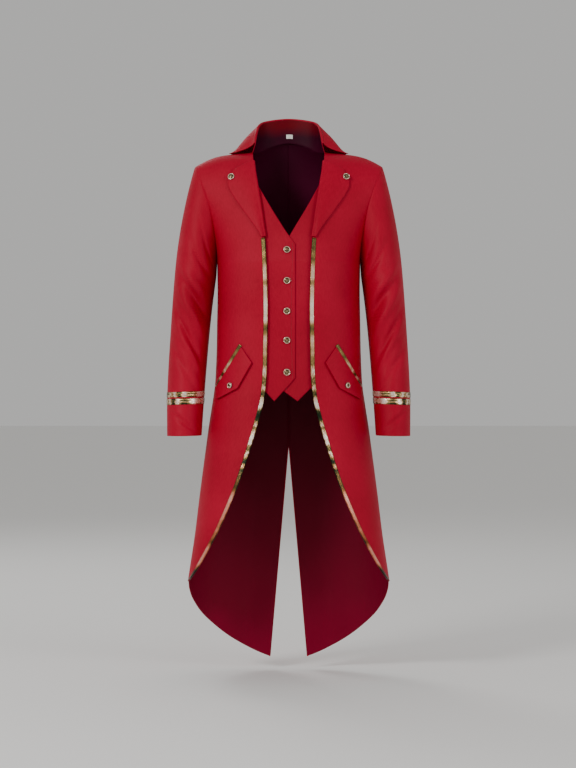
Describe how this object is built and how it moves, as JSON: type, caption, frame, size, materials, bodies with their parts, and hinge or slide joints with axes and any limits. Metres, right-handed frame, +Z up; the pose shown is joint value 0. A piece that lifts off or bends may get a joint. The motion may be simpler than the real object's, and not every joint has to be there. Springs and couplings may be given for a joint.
{
  "type": "tailcoat with mock waistcoat",
  "caption": "Hollow cutaway tailcoat jacket with turned lapels and collar, taped front edges and cuffs, slanted pocket flaps and a pointed waistcoat front",
  "frame": {"origin": "midway between the two points where the shoulder seams meet the neck", "axes": "+Z up, the front faces -Y, and +X is towards the wearer's left"},
  "size_m": [0.5716, 0.2935, 1.2919],
  "materials": {
    "shell_cloth": "soft satin twill",
    "lining": "smooth lining",
    "metallic_tape": "metallic braid",
    "antique_brass": "antique",
    "label": "woven"
  },
  "bodies": {
    "root": {"front_left": "shell_cloth", "front_right": "shell_cloth", "back_left": "shell_cloth", "back_right": "shell_cloth", "sleeve_left": "shell_cloth", "sleeve_right": "shell_cloth", "lapel_left": "shell_cloth", "lapel_right": "shell_cloth", "pocket_flap_left": "shell_cloth", "pocket_flap_right": "shell_cloth", "waistcoat_front_left": "shell_cloth", "waistcoat_front_right": "shell_cloth", "back_lining_left": "lining", "back_lining_right": "lining", "edge_tape_left": "metallic_tape", "edge_tape_right": "metallic_tape", "pocket_welt_left": "metallic_tape", "pocket_welt_right": "metallic_tape", "cuff_tape_upper_left": "metallic_tape", "cuff_tape_upper_right": "metallic_tape", "cuff_tape_lower_left": "metallic_tape", "cuff_tape_lower_right": "metallic_tape", "lapel_button_left": "antique_brass", "lapel_button_right": "antique_brass", "flap_button_left": "antique_brass", "flap_button_right": "antique_brass", "collar": "shell_cloth", "neck_label": "label", "waistcoat_button_1": "antique_brass", "waistcoat_button_2": "antique_brass", "waistcoat_button_3": "antique_brass", "waistcoat_button_4": "antique_brass", "waistcoat_button_5": "antique_brass"}
  },
  "joints": []
}
